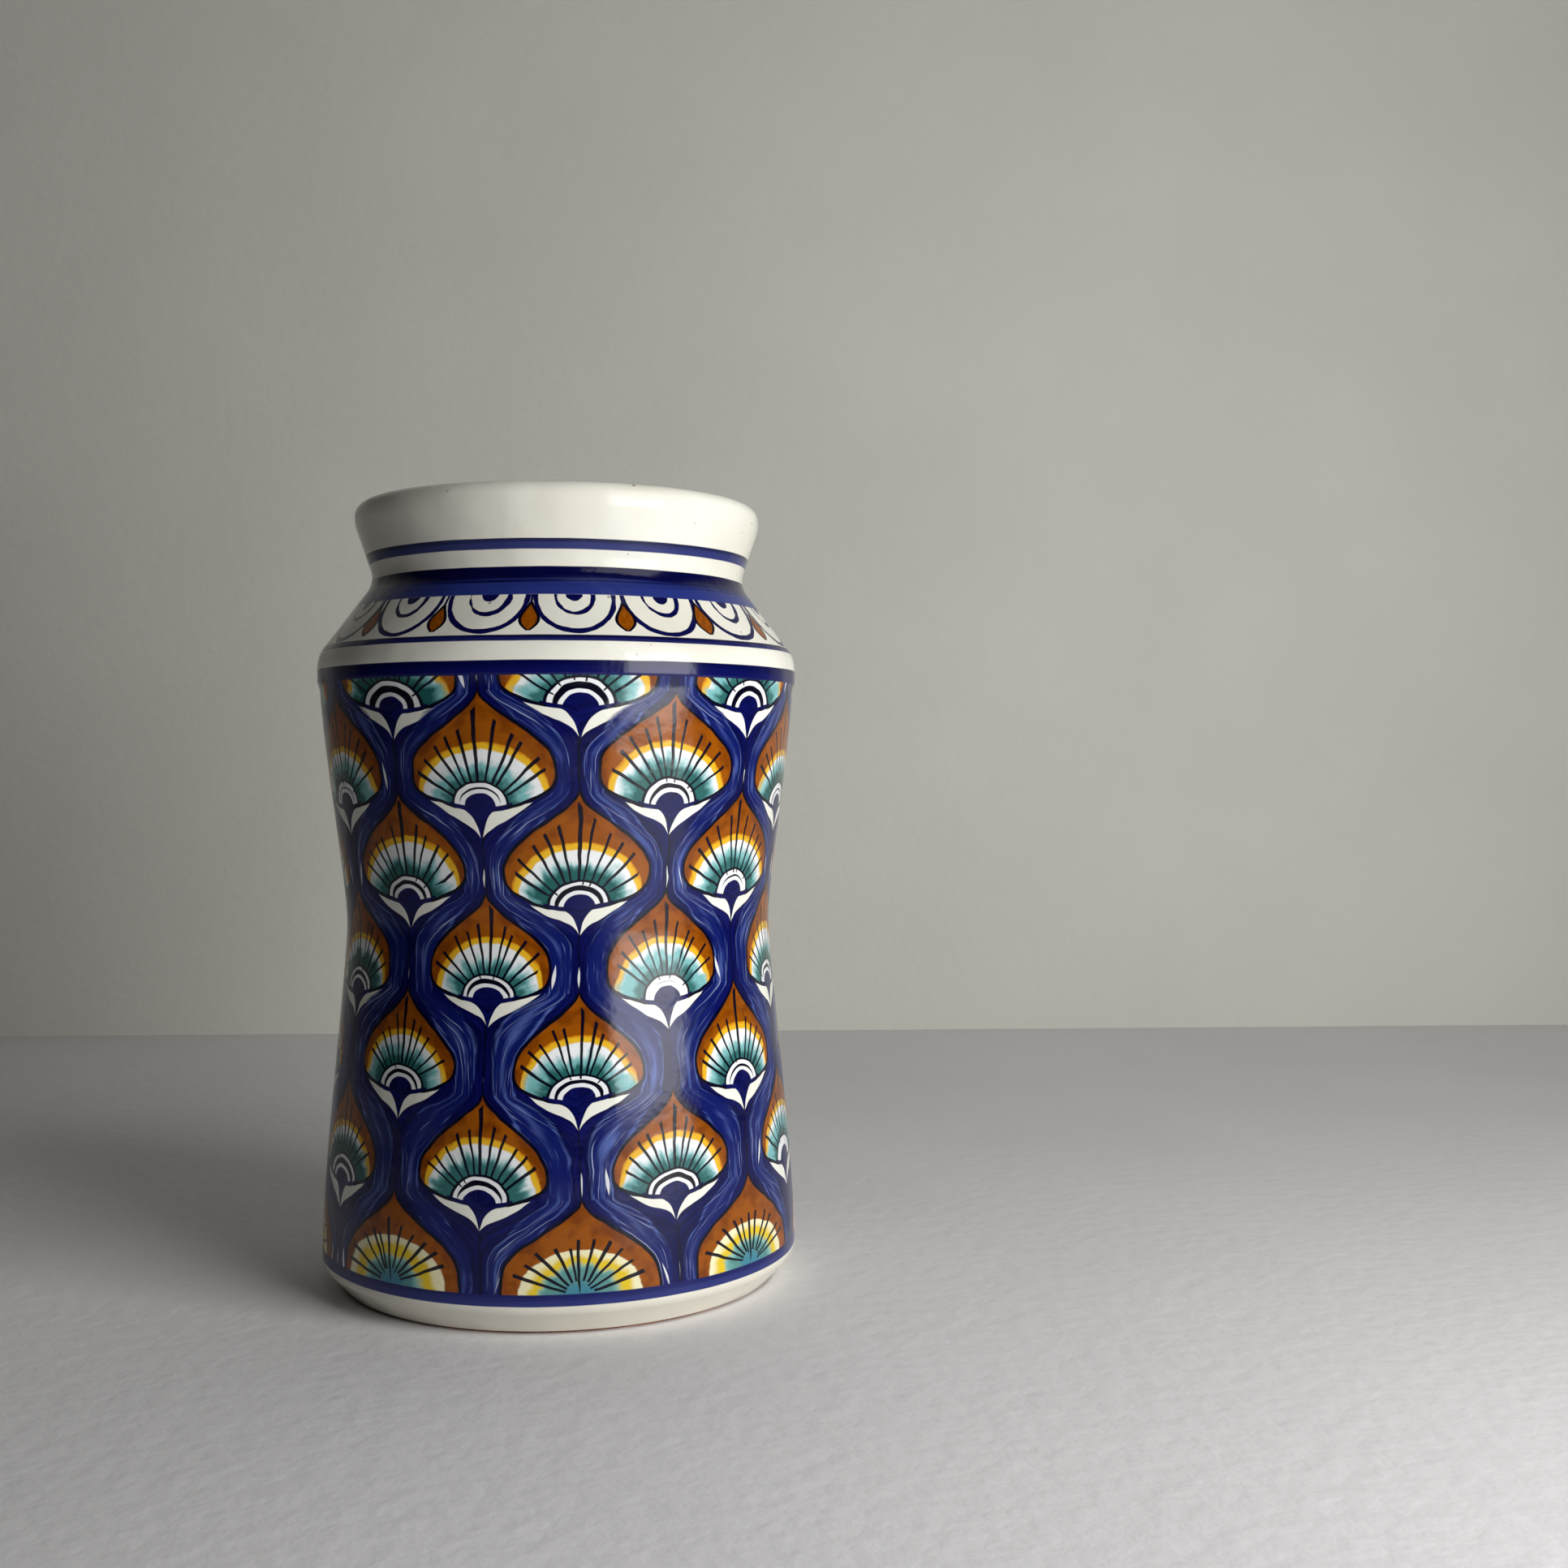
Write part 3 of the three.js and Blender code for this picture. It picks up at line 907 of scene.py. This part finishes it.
def paint_drops(paint, turn, deep):
    """A thin line down to an orange drop with a dark outline."""
    number = sums("ROUND", turn - 0.5)
    luck = chances(sums("MODULO", number + 2 * LOBES, LOBES), 3, 1)
    x = (turn - 0.5 - number) * LOBE_SPACING - (luck[0] - 0.5) * 0.8
    x = x + (deep - 10) * (luck[1] - 0.5) * 0.14
    start = mix(0.6, 3.6, luck[1])
    length = sums("MINIMUM", sums("MAXIMUM", (deep - start) / (DROP_BOTTOM - start), 0), 1)
    swell = sums("SINE", (length ** 1.45) * math.pi)
    half = swell * mix(2.2, 2.9, luck[2])
    paint.lay(LINE_BLUE, below(abs(x), 0.42, 0.12) * below(deep, 4, 0.5))
    paint.lay(INK, below(abs(x), half + DROP_OUTLINE, 0.12) * over(swell, 0.03, 0.03))
    patchy = cloud(point(x * 0.8, deep * 0.5, number), 1.0, 2)
    paint.lay(blended(ORANGE, BROWN_ORANGE, over(patchy, 0.0, 0.2) * 0.8),
              below(abs(x), half - 0.38, 0.14) * over(swell, 0.2, 0.05))


# %% The whole shoulder and neck
BORDER_TOP, BORDER_LINE_TOP, BORDER_LINE_BOTTOM = 216.1, 203.6, 201.8
NECK_BAND_TOP, LIP_LINE_TOP, LIP_LINE_BOTTOM = 224.8, 233.0, 229.9
SLOPE_RISE = 0.8  # how much a millimetre down the slope of the shoulder drops
BORDER_LINE_DARK, BORDER_LINE_LIGHT = pigment(10, 12, 60), pigment(28, 32, 92)
NECK_BAND_DARK, NECK_BAND_LIGHT = pigment(5, 6, 56), pigment(38, 52, 126)
LIP_LINE_DARK, LIP_LINE_LIGHT = pigment(18, 24, 66), pigment(44, 52, 112)


def painted_neck():
    paint = white_glaze("border and neck painting")
    sway = cloud(paint.spot, 40, 1)
    turn = (paint.angle - FRONT_COLUMN) * (LOBES / 2 / math.pi) + LOBES + sway * 0.06
    deep = (BORDER_TOP - paint.height) / SLOPE_RISE + sway * 0.6
    white = paint.colour
    paint_lobes(paint, turn, deep)
    paint_drops(paint, turn, deep)
    drawing = paint.colour
    paint.colour = white
    border = below(paint.height, BORDER_TOP, 0.1) * over(paint.height, BORDER_LINE_BOTTOM, 0.1)
    paint.lay(drawing, border)
    line = banding(paint, BORDER_LINE_TOP, BORDER_LINE_BOTTOM, BORDER_LINE_DARK, BORDER_LINE_LIGHT)
    band = banding(paint, NECK_BAND_TOP, BORDER_TOP - 0.1, NECK_BAND_DARK, NECK_BAND_LIGHT,
                   split=0.46)
    lip_line = banding(paint, LIP_LINE_TOP, LIP_LINE_BOTTOM, LIP_LINE_DARK, LIP_LINE_LIGHT,
                       split=0.7)
    return glazed(paint, sums("MAXIMUM", line, sums("MAXIMUM", band, lip_line)))


neck_paint = painted_neck()

# %% Put the two paintings on the coat
MEETING_HEIGHT = 199.5  # in the white band under the border
for piece in coat:
    piece.data.materials.append(wall_paint)
    piece.data.materials.append(neck_paint)
    for face in piece.data.polygons:
        face.material_index = int(face.center.z > MEETING_HEIGHT * MM)
faces_on_the_neck = sum(face.material_index for face in coat[0].data.polygons)
print("faces of a quarter that take the neck's painting:", faces_on_the_neck)

# %% [markdown]
# ## The lining and the bare clay
# The inside is glazed plain white, and throwing leaves faint rings in it. The clay shows only
# where the foot was wiped clean of glaze, so that the jar doesn't stick to the kiln shelf.


# %% Two plain materials
LINING_WHITE, LINING_THIN = pigment(232, 229, 217), pigment(214, 207, 188)
CLAY, DARK_CLAY = pigment(176, 124, 84), pigment(128, 82, 52)
DARK_GRIT, PALE_GRIT = pigment(92, 66, 48), pigment(205, 182, 150)
THROWING_RINGS = 1.15  # radians of the wave in each millimetre: a ring every 5.5 mm
LINING_RELIEF, CLAY_RELIEF = 0.0012, 0.0006  # metres
LINING_ROUGHNESS, CLAY_ROUGHNESS = 0.2, 0.86


def lining_glaze():
    paint = Paint("white lining glaze")
    paint.ground(LINING_WHITE, LINING_THIN, over(cloud(paint.spot, 18), 0.0, 0.25) * 0.7)
    paint.lay(SPECK, over(cloud(paint.spot, 380, 0), 0.34, 0.012) * 0.6)
    rings = sums("SINE", paint.height * THROWING_RINGS + cloud(paint.spot, 20) * 5)
    relief = rings * 0.10 + cloud(paint.spot, 45, 1)
    roughness = cloud(paint.spot, 80) * 0.08 + LINING_ROUGHNESS
    return paint.finish(relief, LINING_RELIEF, roughness)


def bare_clay():
    paint = Paint("bare earthenware")
    paint.ground(CLAY, DARK_CLAY, over(cloud(paint.spot, 60, 4), 0.0, 0.2))
    paint.lay(DARK_GRIT, over(cloud(paint.spot, 700, 1), 0.16, 0.05) * 0.5)
    paint.lay(PALE_GRIT, over(cloud(paint.spot, 1100, 0), 0.27, 0.03) * 0.5)
    relief = cloud(paint.spot, 900, 3) + cloud(paint.spot, 120, 1) * 1.5
    roughness = cloud(paint.spot, 300) * 0.1 + CLAY_ROUGHNESS
    return paint.finish(relief, CLAY_RELIEF, roughness)


lining.data.materials.append(lining_glaze())
body.data.materials.append(bare_clay())

# %% Hang each piece on the body root and hide the imported solid that it covers
for piece in coat:
    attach(piece, "root")
    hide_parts("outer_glaze")
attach(lining, "root")
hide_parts("inner_glaze")
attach(body, "root")
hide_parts("clay_body")
print("pieces:", [piece.name for piece in (body, lining, *coat)])

# %% [markdown]
# ## The table, the wall and the light
# The jar stands on a plain pale table in front of a plain pale wall, which runs a little aslant.
# A tall softbox to the right of the camera is the window. A smaller one under it is the light
# that the window sill throws back at the foot of the jar. A weak one high up between the jar and
# the wall lifts the table and the back.

# %% Table and wall
WALL_DISTANCE = 0.53  # from the jar to the wall, metres
WALL_TURN = math.radians(-5.3)
REACH = 3  # how far the table and the wall go to each side, to the front and up, metres


def plain(name, colour, mottling):
    """A dull paint that is a little darker in soft patches."""
    paint = Paint(name)
    shade = cloud(paint.spot, 9, 3)
    darker = tuple(c * (1 - mottling) for c in colour[:3]) + (1.0,)
    paint.ground(colour, darker, over(shade, 0, 0.3))
    return paint.finish(cloud(paint.spot, 130, 3), 0.0004, shade * 0.1 + 0.6)


def board(name, corners, material):
    """A flat board of four corners that isn't part of the jar."""
    mesh = bpy.data.meshes.new(name)
    mesh.from_pydata(corners, [], [(0, 1, 2, 3)])
    mesh.materials.append(material)
    piece = bpy.data.objects.new(name, mesh)
    bpy.context.scene.collection.objects.link(piece)


(left_x, left_y), (right_x, right_y) = (
    (end * math.cos(WALL_TURN), WALL_DISTANCE + end * math.sin(WALL_TURN))
    for end in (-REACH, REACH))
wall_foot = [(left_x, left_y, 0), (right_x, right_y, 0)]
board("table", [(left_x, -REACH, 0), (right_x, -REACH, 0), *wall_foot[::-1]],
      plain("pale table", pigment(242, 241, 243), 0.04))
board("wall", [*wall_foot, (right_x, right_y, REACH), (left_x, left_y, REACH)],
      plain("pale wall", pigment(229, 228, 219), 0.05))


# %% Lights
DAYLIGHT, NEUTRAL = (1.0, 0.995, 0.98), (1, 1, 1)


def aim_axes(thing, where, right, up, back):
    """Stands a lamp or the camera at a place, with the directions of its own three axes."""
    axes = np.stack([right, up, back], axis=1)
    thing.matrix_world = Matrix([[*row, at] for row, at in zip(axes, where)] + [[0, 0, 0, 1]])


def softbox(name, where, aim, width, height, watts, tint):
    light = bpy.data.lights.new(name, "AREA")
    light.shape = "RECTANGLE"
    light.size, light.size_y = width, height
    light.energy = watts
    light.color = tint
    box = bpy.data.objects.new(name, light)
    bpy.context.scene.collection.objects.link(box)
    back = np.array(where, float) - np.array(aim, float)
    back /= np.linalg.norm(back)
    right = np.cross((0, 0, 1), back)
    right /= np.linalg.norm(right)
    aim_axes(box, where, right, np.cross(back, right), back)
    print(name, "gives", watts, "W")


softbox("window", where=(0.551, -0.581, 0.56), aim=(0, 0, 0.56),
        width=0.56, height=1.1, watts=4.95, tint=DAYLIGHT)
softbox("window sill light", where=(0.47, -0.50, 0.22), aim=(0, 0, 0.08),
        width=0.4, height=0.34, watts=2.2, tint=DAYLIGHT)
softbox("back fill", where=(0.2, 0.42, 1.9), aim=(0, 0.1, 0),
        width=1.4, height=0.6, watts=1.2, tint=NEUTRAL)

ROOM_COLOUR, ROOM_STRENGTH = pigment(214, 212, 208), 0.01
world = bpy.data.worlds.new("pale room")
world.use_nodes = True
bpy.context.scene.world = world
background = world.node_tree.nodes["Background"]
background.inputs["Color"].default_value = ROOM_COLOUR
background.inputs["Strength"].default_value = ROOM_STRENGTH

# %% [markdown]
# ## The camera
# The camera stands where the photograph was taken from: a little above the middle of the jar,
# 60 cm away, and turned to the right, so that the jar sits left of the middle of the picture.

# %% Camera
CAMERA_PLACE = (0, -0.6013, 0.1662)
YAW, PITCH, ROLL = (math.radians(a) for a in (7.041, -0.644, -0.174))
SENSOR_WIDTH, FOCAL_LENGTH = 36, 41.61  # millimetres
camera = bpy.data.objects.new("camera", bpy.data.cameras.new("camera"))
bpy.context.scene.collection.objects.link(camera)
camera.data.sensor_width = SENSOR_WIDTH
camera.data.lens = FOCAL_LENGTH
camera.data.clip_start = 0.01
ahead = np.array([math.sin(YAW) * math.cos(PITCH), math.cos(YAW) * math.cos(PITCH),
                  math.sin(PITCH)])
level = np.array([math.cos(YAW), -math.sin(YAW), 0])
upright = np.cross(level, ahead)
right = math.cos(ROLL) * level + math.sin(ROLL) * upright
top = -math.sin(ROLL) * level + math.cos(ROLL) * upright
aim_axes(camera, CAMERA_PLACE, right, top, -ahead)
bpy.context.scene.camera = camera
bpy.context.scene.view_settings.view_transform = "Standard"
print("the camera stands", round(math.dist(CAMERA_PLACE[:2], (0, 0)), 3), "m from the axis")
